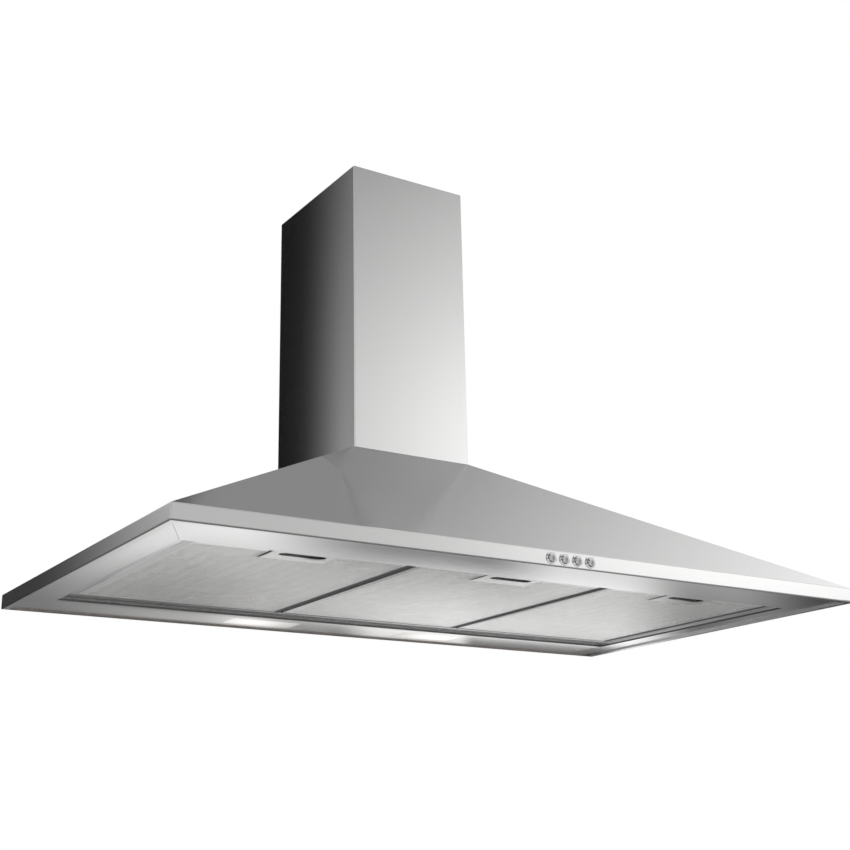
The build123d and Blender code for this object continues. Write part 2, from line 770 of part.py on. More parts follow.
def blower_deck():
    """The level plate in the top of the pyramid that carries the blower."""
    z = (deck_z, deck_z + back_sheet)
    depth = (front, -back_sheet - fit)
    plate = canopy_space(skin + fit) & block((-half_width, half_width), depth, z)
    plate -= mouth_block(0, (deck_z - 1, deck_z + 5))
    plate -= rod(gland_radius - 2, (gland_x, gland_y, deck_z - 5), (0, 0, 1), 20)
    return drill(plate, blower_screw_places(), (deck_z - 1, deck_z + 5))


def collar_change(inset):
    """The space of the change from the scroll's mouth to the round collar, in flats as a brake bends it.

    Each corner of the mouth has a fan of flats to its quarter of the collar, and each side one flat between fans.
    """
    half = scroll_half + collar_sheet - inset
    near, far = mouth_y[0] - collar_sheet + inset, mouth_y[1] + collar_sheet - inset
    corners = [(half, far), (-half, far), (-half, near), (half, near)]
    corners = [Vector(x, y, collar_base_top) for x, y in corners]
    count = 4 * collar_flats
    radius = collar_radius - inset
    turns = [2 * pi * i / count for i in range(count)]
    rim = [Vector(radius * cos(turn), collar_y + radius * sin(turn), collar_start) for turn in turns]
    flats = [corners[::-1], rim]
    for quarter, corner in enumerate(corners):
        fan = [rim[(quarter * collar_flats + i) % count] for i in range(collar_flats + 1)]
        flats += [[corner, fan[i], fan[i + 1]] for i in range(collar_flats)]
        flats.append([corner, fan[-1], corners[(quarter + 1) % 4]])
    faces = [make_face(Polyline(*flat, close=True)) for flat in flats]
    return Solid(Shell([face.face() for face in faces]))


def collar_base():
    """The foot of the duct collar: a flange on the deck and the change from rectangle to circle."""
    outside = mouth_block(flange_width, (collar_low, collar_base_top)) + collar_change(0)
    inside = mouth_block(0, (collar_low - 1, collar_base_top)) + collar_change(collar_sheet)
    return drill(outside - inside, blower_screw_places(), (collar_low - 1, collar_base_top + 1))


def outlet_collar():
    """The round spigot for the duct, with a seat for the flaps and two holes for their pin."""
    bore = collar_radius - collar_sheet
    collar = rod(collar_radius, (0, collar_y, collar_start), (0, 0, 1), collar_length)
    collar -= rod(bore, (0, collar_y, collar_start - 1), (0, 0, 1), collar_length + 2)
    seat_top = flap_z - flap_sheet / 2 - 0.3
    seat = rod(bore + 0.5, (0, collar_y, seat_top - 1.5), (0, 0, 1), 1.5)
    collar += seat - rod(bore - flap_seat, (0, collar_y, seat_top - 3), (0, 0, 1), 6)
    pin_start = (0, collar_y - collar_radius - 1, flap_z)
    return collar - rod(flap_pin_radius + 0.02, pin_start, (0, 1, 0), 2 * collar_radius + 2)


def flap_pin():
    """The pin across the collar that both flaps turn on."""
    start = (0, collar_y - collar_radius + 0.2, flap_z)
    return rod(flap_pin_radius, start, (0, 1, 0), 2 * collar_radius - 0.4)


def collar_flap(side):
    """One half of the non-return valve: a half disc, with one knuckle between the other half's two."""
    radius = collar_radius - collar_sheet - flap_play
    disc = Pos(0, collar_y, flap_z) * Cylinder(radius, flap_sheet)
    knuckle_radius = flap_pin_radius + 1.2
    edge = knuckle_radius - 0.5
    thickness = (flap_z - flap_sheet / 2, flap_z + flap_sheet / 2)
    flap = disc & block((edge, radius), (collar_y - radius, collar_y + radius), thickness)
    outer_knuckles, middle_knuckle = [(-26, -14), (14, 26)], [(-13, 13)]
    own, other = (middle_knuckle, outer_knuckles) if side > 0 else (outer_knuckles, middle_knuckle)
    for low, high in own:
        knuckle = rod(knuckle_radius, (0, collar_y + low, flap_z), (0, 1, 0), high - low)
        flap += knuckle + block((0, edge + 1), (collar_y + low, collar_y + high), thickness)
    for low, high in other:
        room = (collar_y + low - 0.5, collar_y + high + 0.5)
        flap -= block((0, knuckle_radius + 0.4), room, (flap_z - 5, flap_z + 5))
    pin_start = (0, collar_y - radius - 1, flap_z)
    flap -= rod(flap_pin_radius + running_play, pin_start, (0, 1, 0), 2 * radius + 2)
    return flap if side > 0 else mirror(flap, about=Plane.YZ)


def blower_screws():
    """The two screws through collar, deck and scroll."""
    screws = Part()
    for x, y in blower_screw_places():
        screws += hexagon_screw((x, y, collar_base_top), (0, 0, -1), 8)
    return screws


def lamp_panel_screws():
    """Two flush screws up through the lamp panel."""
    return both_sides(panel_screw())


# Wiring

box_x = (scroll_half + scroll_sheet + 14, scroll_half + scroll_sheet + 14 + box_width)
box_y = (blower_y - 52, blower_y - 52 + box_length)
box_z = (deck_z - box_height, deck_z)


def junction_box():
    """The open-bottomed terminal box under the deck."""
    box = block(box_x, box_y, box_z)
    box = chamfer(box.edges().filter_by(Axis.Z), 1.5)
    return box - block(
        (box_x[0] + box_sheet, box_x[1] - box_sheet),
        (box_y[0] + box_sheet, box_y[1] - box_sheet),
        (box_z[0] - 1, box_z[1] - box_sheet),
    )


def junction_lid():
    """The lid of the terminal box, with a rim inside its walls."""
    lid = block(box_x, box_y, (box_z[0] - box_sheet, box_z[0]))
    lid = chamfer(lid.edges().filter_by(Axis.Z), 1.5)
    inset = box_sheet + fit
    rim_x = (box_x[0] + inset, box_x[1] - inset)
    rim_y = (box_y[0] + inset, box_y[1] - inset)
    rim = block(rim_x, rim_y, (box_z[0] - 0.5, box_z[0] + 4))
    rim -= block(
        (rim_x[0] + box_sheet, rim_x[1] - box_sheet),
        (rim_y[0] + box_sheet, rim_y[1] - box_sheet),
        (box_z[0], box_z[0] + 5),
    )
    return lid + rim


def capacitor():
    """The motor's run capacitor, standing in the terminal box."""
    middle = ((box_x[0] + box_x[1]) / 2, box_y[0] + box_sheet + 2)
    start = (middle[0], middle[1], box_z[1] - box_sheet - 9.2)
    return rod(9, start, (0, 1, 0), 46)


def cable_gland():
    """The bush in the deck that the supply cable would pass through, open both ways."""
    low = deck_z - 4
    body = rod(gland_radius - 2 - fit, (gland_x, gland_y, low), (0, 0, 1), gland_height)
    head = extrude(RegularPolygon(gland_radius + 1, 6), amount=8)
    gland = body + Pos(gland_x, gland_y, deck_z + back_sheet) * head
    return gland - rod(gland_bore, (gland_x, gland_y, low - 1), (0, 0, 1), gland_height + 2)


# Chimney


def chimney_lower_cover():
    """The fixed chimney cover that stands on the pyramid."""
    z = (canopy_top, canopy_top + lower_cover_height)
    return chimney_channel(chimney_width / 2, -chimney_depth, 0, chimney_sheet, z)


def chimney_upper_cover():
    """The sliding chimney cover, nested in the lower one, with vent slots near its top."""
    z = (upper_top - upper_cover_height, upper_top)
    cover = chimney_channel(upper_half, upper_front, upper_back, chimney_sheet, z)
    middle = (upper_front + upper_back) / 2
    for i in range(vent_count):
        vent_z = upper_top - vent_drop - i * vent_pitch
        cover -= Pos(0, middle, vent_z) * Box(2 * upper_half + 10, vent_length, vent_height)
    for side in (-1, 1):
        start = (side * (upper_half + 1), rivet_y, bracket_z)
        cover -= rod(rivet_radius + 0.05, start, (-side, 0, 0), 5)
    return cover


def ceiling_bracket():
    """The wall bracket at the chimney's top: a back strip stepped out to two arms."""
    z = (bracket_z - bracket_height / 2, bracket_z + bracket_height / 2)
    inner = upper_half - chimney_lip - 3
    outer = upper_half - chimney_sheet
    step_y = upper_back - chimney_sheet - 2
    strip = block((0, inner), (-bracket_sheet, 0), z)
    step = block((inner - bracket_sheet, inner), (step_y - bracket_sheet, 0), z)
    ear = block((inner - bracket_sheet, outer), (step_y - bracket_sheet, step_y), z)
    arm = block((outer - bracket_sheet, outer), (-bracket_arm, step_y), z)
    bracket = both_sides(strip + step + ear + arm)
    for side in (-1, 1):
        hole = (side * bracket_hole_x, -5, bracket_z)
        bracket -= rod(bracket_hole_radius, hole, (0, 1, 0), 10)
        rivet = (side * (upper_half + 1), rivet_y, bracket_z)
        bracket -= rod(rivet_radius + 0.05, rivet, (-side, 0, 0), 8)
    return bracket


def bracket_rivets():
    """Flush rivets that hold the upper cover to its bracket."""
    inside = upper_half - chimney_sheet - bracket_sheet
    return both_sides(rod(rivet_radius, (inside, rivet_y, bracket_z), (1, 0, 0), upper_half - inside))


parts = {
    "canopy_skin": canopy_skin(),
    "rear_panel": rear_panel(),
    "tray_frame": tray_frame(),
    "lamp_panel": lamp_panel(),
    "lamp_lens_left": lamp_lens(-1),
    "lamp_lens_right": lamp_lens(1),
    "lamp_housings": lamp_housings(),
    "lamp_bulb_left": lamp_bulb(-1),
    "lamp_bulb_right": lamp_bulb(1),
    "lamp_sockets": lamp_sockets(),
    "lamp_panel_screws": lamp_panel_screws(),
    "filter_rails": filter_rails(),
    "blower_deck": blower_deck(),
    "scroll_housing": scroll_housing(),
    "scroll_inlet_wall": scroll_inlet_wall(),
    "inlet_ring": inlet_ring(),
    "impeller": impeller(),
    "impeller_nut": impeller_nut(),
    "motor_shaft": motor_shaft(),
    "motor_plate": motor_plate(),
    "motor": motor(),
    "motor_screws": motor_screws(),
    "collar_base": collar_base(),
    "outlet_collar": outlet_collar(),
    "flap_pin": flap_pin(),
    "flap_left": collar_flap(-1),
    "flap_right": collar_flap(1),
    "blower_screws": blower_screws(),
    "junction_box": junction_box(),
    "junction_lid": junction_lid(),
    "capacitor": capacitor(),
    "cable_gland": cable_gland(),
    "chimney_lower_cover": chimney_lower_cover(),
    "chimney_upper_cover": chimney_upper_cover(),
    "ceiling_bracket": ceiling_bracket(),
    "bracket_rivets": bracket_rivets(),
    "switch_block": switch_block(),
    "button_bezels": button_bezels(),
}
for number, place in enumerate(button_places(), 1):
    parts[f"button_{number}"] = push_button(place)
for name, centre in zip(("left", "middle", "right"), filter_centres):
    parts[f"filter_{name}_frame"] = filter_frame(centre)
    parts[f"filter_{name}_mesh"] = filter_mesh(centre)
    parts[f"filter_{name}_handle"] = latch_base(centre)
    parts[f"filter_{name}_latch"] = filter_latch(centre)

os.makedirs("parts", exist_ok=True)
for node, shape in parts.items():
    export_step(shape, f"parts/{node}.step")
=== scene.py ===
"""A wall-hung chimney hood: brushed steel sheets, expanded-metal grease filters, lamps and push buttons."""

import math

import bmesh
import bpy
import numpy as np
from mathutils import Matrix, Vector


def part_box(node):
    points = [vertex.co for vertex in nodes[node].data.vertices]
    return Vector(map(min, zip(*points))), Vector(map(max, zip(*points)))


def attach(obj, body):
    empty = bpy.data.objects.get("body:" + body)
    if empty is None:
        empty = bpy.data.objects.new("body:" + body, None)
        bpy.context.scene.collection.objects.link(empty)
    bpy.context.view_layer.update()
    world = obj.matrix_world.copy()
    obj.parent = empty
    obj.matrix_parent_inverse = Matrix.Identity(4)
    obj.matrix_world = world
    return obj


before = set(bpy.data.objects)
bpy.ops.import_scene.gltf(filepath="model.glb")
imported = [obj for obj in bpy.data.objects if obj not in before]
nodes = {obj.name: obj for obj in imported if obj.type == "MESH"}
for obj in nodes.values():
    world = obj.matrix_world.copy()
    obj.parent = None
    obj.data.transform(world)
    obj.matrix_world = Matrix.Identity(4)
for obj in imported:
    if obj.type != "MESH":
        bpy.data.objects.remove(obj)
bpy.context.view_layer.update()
scene = bpy.context.scene
mm = 0.001

# The hood's own sizes and places, where the boxes of the frame don't show them
hood_half = 0.450
front = -0.510
fascia_height = 17 * mm
border_z = 2 * mm  # underside of the tray's border
ledge_z = 6 * mm  # underside of the ledge round the filters
recess_x, recess_front = 0.408, -0.432  # where the border steps up to the ledge
opening_x, opening_rear = 0.3965, -0.0995  # the ledge's inner edge
panel_front = -0.075
chimney_half = 0.086
neck_z = 0.2005
slope_run = 1.989  # of the pyramid's side slopes, for each metre of height
filter_half, filter_length = 0.130, 0.320
filter_rear = -0.1015
filter_centres = {"left": -0.264, "middle": 0.0, "right": 0.264}
frame_lip = 9.0 * mm
filter_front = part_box("filter_middle_frame")[0][1]
half_pitch = (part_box("filter_right_frame")[0][0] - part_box("filter_middle_frame")[0][0]) / 2
button_low, button_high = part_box("button_1")
button_x, button_z = (button_low[0] + button_high[0]) / 2, (button_low[2] + button_high[2]) / 2
button_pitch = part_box("button_2")[0][0] - button_low[0]


# Shader maths


class Value:
    """A shader socket that can be used in Python expressions; each operator adds a Math node."""

    def __init__(self, sheet, socket):
        self.sheet, self.socket = sheet, socket

    def maths(self, operation, *others):
        return self.sheet.node("ShaderNodeMath", {"operation": operation}, [self, *others])

    def __add__(self, other):
        return self.maths("ADD", other)

    def __sub__(self, other):
        return self.maths("SUBTRACT", other)

    def __rsub__(self, other):
        return self.sheet.node("ShaderNodeMath", {"operation": "SUBTRACT"}, [other, self])

    def __mul__(self, other):
        return self.maths("MULTIPLY", other)

    def __truediv__(self, other):
        return self.maths("DIVIDE", other)

    def __pow__(self, other):
        return self.maths("POWER", other)

    def __gt__(self, other):
        return self.maths("GREATER_THAN", other)

    def __lt__(self, other):
        return self.maths("LESS_THAN", other)

    __radd__ = __add__
    __rmul__ = __mul__

    def abs(self):
        return self.maths("ABSOLUTE")

    def sin(self):
        return self.maths("SINE")

    def least(self, other):
        return self.maths("MINIMUM", other)

    def most(self, other):
        return self.maths("MAXIMUM", other)

    def wrap(self, half):
        """The place within a pattern that repeats every two halves, from -half to half."""
        return self.maths("WRAP", half, -half)

    def bell(self, middle, width):
        """exp(-((value - middle) / width)^2)"""
        distance = (self - middle) / width
        return self.sheet.node("ShaderNodeMath", {"operation": "POWER"}, [math.e, distance * distance * -1.0])

    def ramp(self, low, high):
        """A smooth rise from 0 at low to 1 at high."""
        settings = {"interpolation_type": "SMOOTHSTEP"}
        return self.sheet.node("ShaderNodeMapRange", settings, [self, low, high, 0.0, 1.0])

    def plateau(self, low, high, fall, end):
        """A smooth rise from low to high and a smooth drop from fall to end."""
        return self.ramp(low, high) * (1 - self.ramp(fall, end))


class Sheet:
    """One node tree: a material's, or the world's."""

    def __init__(self, tree):
        self.tree = tree
        tree.nodes.clear()
        self.coordinates = None

    def node(self, kind, settings=None, inputs=(), output=0):
        """Adds a node: its settings first, then values or links by place or by name; returns one output."""
        made = self.tree.nodes.new(kind)
        for name, setting in (settings or {}).items():
            setattr(made, name, setting)
        pairs = inputs.items() if isinstance(inputs, dict) else enumerate(inputs)
        for name, given in pairs:
            if isinstance(given, Value):
                self.tree.links.new(given.socket, made.inputs[name])
            else:
                made.inputs[name].default_value = given
        return Value(self, made.outputs[output])

    def show(self, shader, kind="ShaderNodeOutputMaterial"):
        """Links a shader to the tree's output."""
        self.tree.links.new(shader.socket, self.tree.nodes.new(kind).inputs[0])

    def one_sided(self, shader, hole=None):
        """The shader on the front of a face; the back is clear, and so is the hole."""
        open_part = self.node("ShaderNodeNewGeometry", output="Backfacing")
        if hole:
            open_part = open_part.most(hole)
        clear = self.node("ShaderNodeBsdfTransparent")
        return self.node("ShaderNodeMixShader", {}, [open_part, shader, clear])

    def place(self):
        """The Object coordinates as X, Y and Z."""
        if self.coordinates is None:
            self.coordinates = self.node("ShaderNodeTexCoord", output=3)
        split = self.node("ShaderNodeSeparateXYZ", inputs=[self.coordinates]).socket.node
        return [Value(self, socket) for socket in split.outputs]

    def stretched(self, scale):
        """Object coordinates drawn out by a scale on each axis."""
        x, y, z = self.place()
        return self.node("ShaderNodeCombineXYZ", inputs=[x * scale[0], y * scale[1], z * scale[2]])

    def noise(self, scale, detail=2.0, roughness=0.5):
        """Noise from 0 to 1 at one scale, or at a scale for each axis."""
        scales = scale if isinstance(scale, tuple) else (scale,) * 3
        inputs = {"Vector": self.stretched(scales), "Scale": 1.0, "Detail": detail, "Roughness": roughness}
        return self.node("ShaderNodeTexNoise", {}, inputs)

    def cells(self, size):
        """A flat random shade for each cell of a Voronoi pattern, from 0 to 1."""
        inputs = {"Vector": self.stretched((1, 1, 1)), "Scale": size}
        colour = self.node("ShaderNodeTexVoronoi", {}, inputs, output=1)
        return self.node("ShaderNodeSeparateColor", {}, [colour])

    def mix(self, factor, first, second):
        """A colour between two colours."""
        return self.node("ShaderNodeMix", {"data_type": "RGBA"}, {0: factor, 6: first, 7: second}, output=2)

    def bump(self, height, strength, distance=0.1 * mm):
        inputs = {"Height": height, "Strength": strength, "Distance": distance}
        return self.node("ShaderNodeBump", {}, inputs)


def finish(name, build, constants=None, one_sided=False):
    """A material: a build function gives the varying Principled inputs, constants go on its sockets."""
    material = bpy.data.materials.new(name)
    material.use_nodes = True
    sheet = Sheet(material.node_tree)
    shader = sheet.node("ShaderNodeBsdfPrincipled", {}, {**(constants or {}), **build(sheet)})
    sheet.show(sheet.one_sided(shader) if one_sided else shader)
    return material


def grey(level, warmth=0.0):
    return (level * (1 + warmth), level, level * (1 - warmth), 1.0)


def blend(share, first, second):
    """The first value where the share is 0, the second where it is 1."""
    return second * share + first * (1 - share)


# Finishes


def step_rise(z):
    """1 on the lower half of the step from the border up to the ledge."""
    return (z > border_z + 0.3 * mm) * (z < border_z + 2.4 * mm)


def hem_shadow(sheet):
    """Painted shade where the hem turns under the fascia, on the right hem's inner edge and on the upright
    corners.
    """
    x, y, z = sheet.place()
    near, edge = 1.0 * mm, 1.3 * mm
    corner = (x.abs() > hood_half - near) * (y < front + near) * (z < fascia_height - 0.4 * mm)
    outer = (x.abs() > hood_half - edge).most(y < front + edge)
    outer = outer * (1 - z.ramp(0.6 * mm, border_z + 0.2 * mm))
    inner = (x > hood_half - 20 * mm) * (z > 0.1 * mm) * (z < border_z + 0.1 * mm)
    return (outer * 0.8).most(corner * 0.35).most(inner * 0.6)


def step_shade_and_mitres(sheet):
    """Painted shade on the steps up to the ledge and in lines where it meets the filters at the rear and
    right; dark mitre seams.

    A mitre is a line 1 mm wide on the border, from the recess's front corner to the hood's.
    """
    x, y, z = sheet.place()
    on_ledge = z > ledge_z - 0.2 * mm
    # Painted shade along the ledge where it meets the rear and the right filters.
    rear_joint_shade = on_ledge * (1 - y.ramp(opening_rear + 2.0 * mm, opening_rear + 4.5 * mm))
    rear_joint_shade = rear_joint_shade * y.ramp(opening_rear - 1.5 * mm, opening_rear)
    right_joint_shade = on_ledge * x.ramp(opening_x - 1.0 * mm, opening_x)
    run_x, run_y = hood_half - recess_x, recess_front - front
    distance = ((x.abs() - recess_x) * run_y + (y - recess_front) * run_x) / math.hypot(run_x, run_y)
    mitre = (distance.abs() < 0.5 * mm) * (y < recess_front) * (z < border_z + 0.3 * mm)
    return (step_rise(z) * 0.8).most(rear_joint_shade * 0.75).most(right_joint_shade * 0.6).most(mitre * 0.3)


def panel_shadow(sheet):
    """Painted shade on the lamp panel: darker towards the wall and on its upturned front edge."""
    _, y, z = sheet.place()
    to_wall = y.ramp(-22 * mm, 0.0)
    front_bend = 1 - y.ramp(panel_front + 1 * mm, panel_front + 13 * mm)
    return (to_wall * 0.22).most(step_rise(z) * 0.8).most(front_bend * 0.3)


def brushed(name, grain, shade, gloss, warmth=0.004, shadow=None):
    """Stainless sheet: long fine scratches along the grain, a slow change of gloss, faint wiping marks, and
    painted shade where a shadow mask is given.
    """
    along, across, marks = 12.0, 2600.0, 0.03

    def build(sheet):
        scales = tuple(along if axis == grain else across for axis in range(3))
        fine = sheet.noise(scales, detail=3.0, roughness=0.6)
        coarse = sheet.noise(tuple(scale * 0.3 for scale in scales))
        wiping = sheet.noise((3.1, 2.4, 2.7))
        scratch = (fine - 0.5) * marks + (coarse - 0.5) * marks * 0.6
        tone = scratch + 0.5 + (wiping - 0.5) * 0.08
        colour = sheet.mix(tone, grey(shade - 0.10, warmth), grey(shade + 0.10, warmth))
        roughness = (fine - 0.5) * 0.07 + (wiping - 0.5) * 0.05 + gloss
        # The shadow mask paints shade, and on the tray its dark mitre seams: it darkens the colour to
        # near-black and makes the sheet rougher.
        if shadow:
            dull = shadow(sheet)
            colour = sheet.mix(dull, colour, grey(0.06, 0.08))
            roughness = roughness + dull * 0.25
        return {
            "Base Color": colour,
            "Roughness": roughness,
            "Normal": sheet.bump(fine + coarse * 0.5, 0.05, 0.2 * mm),
        }

    return finish(name, build, {"Metallic": 1.0})


def galvanised_sheet(sheet):
    """Zinc with spangles a few millimetres across and a dull bloom, and a dark foot."""
    flakes = sheet.cells(260.0)
    bloom = sheet.noise(9.0, detail=3.0)
    _, _, z = sheet.place()
    zinc = sheet.mix(flakes * 0.5 + bloom * 0.5, (0.42, 0.44, 0.46, 1), (0.62, 0.63, 0.64, 1))
    return {
        "Base Color": sheet.mix(z.ramp(0.0, 5 * mm), (0.28, 0.25, 0.23, 1), zinc),
        "Roughness": flakes * 0.16 + bloom * 0.12 + 0.26,
        "Normal": sheet.bump(flakes, 0.08),
    }


def rolled_aluminium(sheet):
    """Aluminium strip with rolling and handling marks, painted shade along the right and rear edges and
    faintly the left, and a painted highlight on the front rim.
    """
    rolling = sheet.noise((2400.0, 20.0, 2400.0))
    handling = sheet.noise(40.0, detail=3.0)
    x, y, _ = sheet.place()
    across = x.wrap(half_pitch)
    # Painted shade along the frame's right and rear edges, faintly on its left; there it also turns rougher.
    right = across.ramp(filter_half - 10.5 * mm, filter_half - 7.0 * mm)
    left = 1 - across.ramp(6.5 * mm - filter_half, 9.0 * mm - filter_half)
    rear = y.ramp(filter_rear - 7.0 * mm, filter_rear - 4.0 * mm)
    edges = (right * 0.88).most(rear * 0.75).most(left * 0.2)
    # Painted highlight along the front rim.
    rim = 1 - y.ramp(filter_front + 2 * mm, filter_front + 4 * mm)
    colour = sheet.mix(rolling * 0.35 + handling * 0.4 + 0.12, grey(0.66, 0.006), grey(0.86, 0.006))
    colour = sheet.mix(rim, colour, grey(0.96))
    return {
        "Base Color": sheet.mix(edges, colour, grey(0.03)),
        "Roughness": handling * 0.12 + rolling * 0.08 + 0.26 + edges * 0.6,
        "Normal": sheet.bump(rolling + handling * 0.4, 0.06),
    }


def pressed_aluminium(sheet):
    """The filters' handles: smooth aluminium, with painted shade round the guide slot and behind the finger
    slot.

    The middle handle's finger slot gets only a tenth of that painted shade and stays paler than the other
    two.
    """
    haze = sheet.noise(60.0)
    x, y, _ = sheet.place()
    across, slot_y = x.wrap(half_pitch), filter_front + 19.5 * mm
    # Painted shade round the guide slot and behind the finger slot, mostly left off the middle handle.
    guide = across.bell(-38 * mm, 3.2 * mm) * y.bell(slot_y, 18 * mm)
    hollow = across.bell(18 * mm, 11 * mm) * y.bell(slot_y, 4.5 * mm)
    middle_slot = x.plateau(-25 * mm, -15 * mm, 26 * mm, 34 * mm)
    dark = guide.most(hollow * (1 - middle_slot * 0.9) * 0.85)
    return {
        "Base Color": sheet.mix(dark, sheet.mix(haze, grey(0.66, 0.006), grey(0.74, 0.006)), grey(0.03)),
        "Roughness": haze * 0.08 + 0.22,
        "Normal": sheet.bump(haze, 0.03),
    }


def mesh_strands(sheet):
    """Cut and stretched aluminium foil: bright strands with dull, slightly grey patches."""
    patches = sheet.noise(14.0, detail=3.0)
    burr = sheet.noise(900.0)
    return {
        "Base Color": sheet.mix(patches * 0.6 + burr * 0.4, grey(0.86, 0.006), grey(0.94, 0.004)),
        "Roughness": patches * 0.05 + burr * 0.04 + 0.22,
        "Normal": sheet.bump(burr, 0.05),
    }


def mesh_layers(sheet):
    """The layers behind the first one, seen as a fine diamond weave with dark openings."""
    x, y, _ = sheet.place()
    step, lean = 2 * math.pi / (5.2 * mm), 1.7
    one_way, other_way = x * step + y * step * lean, x * step - y * step * lean
    weave = one_way.sin() * other_way.sin() * 0.5 + 0.5
    tone = weave * 0.75 + sheet.noise(16.0) * 0.25
    return {
        "Base Color": sheet.mix(tone, grey(0.72, 0.006), grey(0.88, 0.006)),
        "Roughness": tone * 0.06 + 0.24,
        "Normal": sheet.bump(weave, 0.04, 0.2 * mm),
    }


def bright_chrome(sheet):
    """Polished plating with a trace of fine swirl; a dark reflection is painted in each button's dish."""
    swirl = sheet.noise(300.0)
    haze = sheet.noise(30.0)
    x, _, z = sheet.place()
    across = (x - button_x).wrap(button_pitch / 2)
    # Painted reflection: a dark patch in each button's dish.
    dish = across.bell(-0.6 * mm, 3.3 * mm) * z.bell(button_z - 1.2 * mm, 4.8 * mm)
    return {
        "Base Color": sheet.mix(dish * 0.85, sheet.mix(haze, grey(0.74), grey(0.86)), grey(0.08)),
        "Roughness": swirl * 0.05 + haze * 0.05 + 0.07,
        "Normal": sheet.bump(swirl, 0.02),
    }


def zinc_plating(sheet):
    """Screws and rivets: slightly yellow zinc with a cloudy gloss."""
    cloud = sheet.noise(200.0)
    return {
        "Base Color": sheet.mix(cloud, (0.52, 0.52, 0.50, 1), (0.70, 0.70, 0.68, 1)),
        "Roughness": cloud * 0.2 + 0.22,
        "Normal": sheet.bump(cloud, 0.05),
    }


def moulded(name, low, high, gloss):
    """A moulded plastic with the fine grain of a spark-eroded tool."""

    def build(sheet):
        grain = sheet.noise(1500.0)
        flow = sheet.noise(20.0)
        return {
            "Base Color": sheet.mix(flow * 0.7 + grain * 0.3, low, high),
            "Roughness": grain * 0.12 + flow * 0.06 + gloss,
            "Normal": sheet.bump(grain, 0.12),
        }

    return finish(name, build)


def baked_enamel(sheet):
    """Dark motor enamel with a soft orange peel."""
    peel = sheet.noise(500.0, detail=1.0)
    dust = sheet.noise(25.0, detail=3.0)
    return {
        "Base Color": sheet.mix(dust, grey(0.035), grey(0.07)),
        "Roughness": dust * 0.15 + 0.34,
        "Normal": sheet.bump(peel, 0.1),
    }


def frosted_lens(sheet):
    """A lit lens: brightest over the lamp, finely stippled."""
    x, y, _ = sheet.place()
    glow = x.abs().bell(140 * mm, 50 * mm) * y.bell(-40 * mm, 32 * mm)
    stipple = sheet.noise(1200.0, detail=1.0)
    return {
        "Base Color": sheet.mix(stipple, (0.40, 0.39, 0.37, 1), (0.50, 0.49, 0.47, 1)),
        "Roughness": stipple * 0.1 + 0.3,
        "Emission Color": sheet.mix(glow, (0.06, 0.055, 0.05, 1), (0.60, 0.58, 0.56, 1)),
        "Normal": sheet.bump(stipple, 0.15),
    }


def opal_bulb(sheet):
    """A lit candle lamp: opal glass over a plated cap with threads as fine rings."""
    x, _, _ = sheet.place()
    cap_end, thread = 88 * mm, 2.8 * mm
    cap = x.abs() < cap_end
    rings = (x * (2 * math.pi / thread)).sin() * 0.5 + 0.5
    return {
        "Base Color": sheet.mix(cap, (0.95, 0.93, 0.88, 1), (0.70, 0.66, 0.58, 1)),
        "Metallic": cap,
        "Roughness": 0.35 - cap * 0.1,
        "Emission Color": sheet.mix(cap, (1.0, 0.93, 0.80, 1), (0, 0, 0, 1)),
        "Normal": sheet.bump(cap * rings, 0.5, 0.5 * mm),
    }


def glazed_porcelain(sheet):
    """Cream lamp-holder ceramic."""
    speck = sheet.noise(60.0, detail=3.0)
    return {
        "Base Color": sheet.mix(speck, (0.78, 0.75, 0.68, 1), (0.88, 0.86, 0.80, 1)),
        "Roughness": speck * 0.1 + 0.22,
        "Normal": sheet.bump(speck, 0.05, 0.2 * mm),
    }


along_x, along_z = 0, 2
canopy_steel = brushed("canopy_steel", along_x, shade=0.74, gloss=0.20, shadow=hem_shadow)
chimney_steel = brushed("chimney_steel", along_z, shade=0.76, gloss=0.24)
tray_steel = brushed("tray_steel", along_x, shade=0.74, gloss=0.16, shadow=step_shade_and_mitres)
panel_steel = brushed("panel_steel", along_x, shade=0.76, gloss=0.22, warmth=0.012, shadow=panel_shadow)
zinc_sheet = finish("zinc_sheet", galvanised_sheet, {"Metallic": 1.0})
filter_strip = finish("filter_strip", rolled_aluminium, {"Metallic": 1.0})
handle_pressing = finish("handle_pressing", pressed_aluminium, {"Metallic": 1.0})
filter_strands = finish("filter_strands", mesh_strands, {"Metallic": 1.0})
filter_layers = finish("filter_layers", mesh_layers, {"Metallic": 0.9})
button_chrome = finish("button_chrome", bright_chrome, {"Metallic": 1.0})
screw_zinc = finish("screw_zinc", zinc_plating, {"Metallic": 1.0})
latch_steel = brushed("latch_steel", along_x, shade=0.66, gloss=0.3)
black_moulding = moulded("black_moulding", grey(0.018), grey(0.045), gloss=0.45)
white_moulding = moulded("white_moulding", grey(0.70, 0.01), grey(0.84, 0.01), gloss=0.35)
motor_enamel = finish("motor_enamel", baked_enamel)
lamp_lens = finish("lamp_lens", frosted_lens, {"Emission Strength": 1.0})
lamp_glass = finish("lamp_glass", opal_bulb, {"Emission Strength": 1.6})
lamp_ceramic = finish("lamp_ceramic", glazed_porcelain)

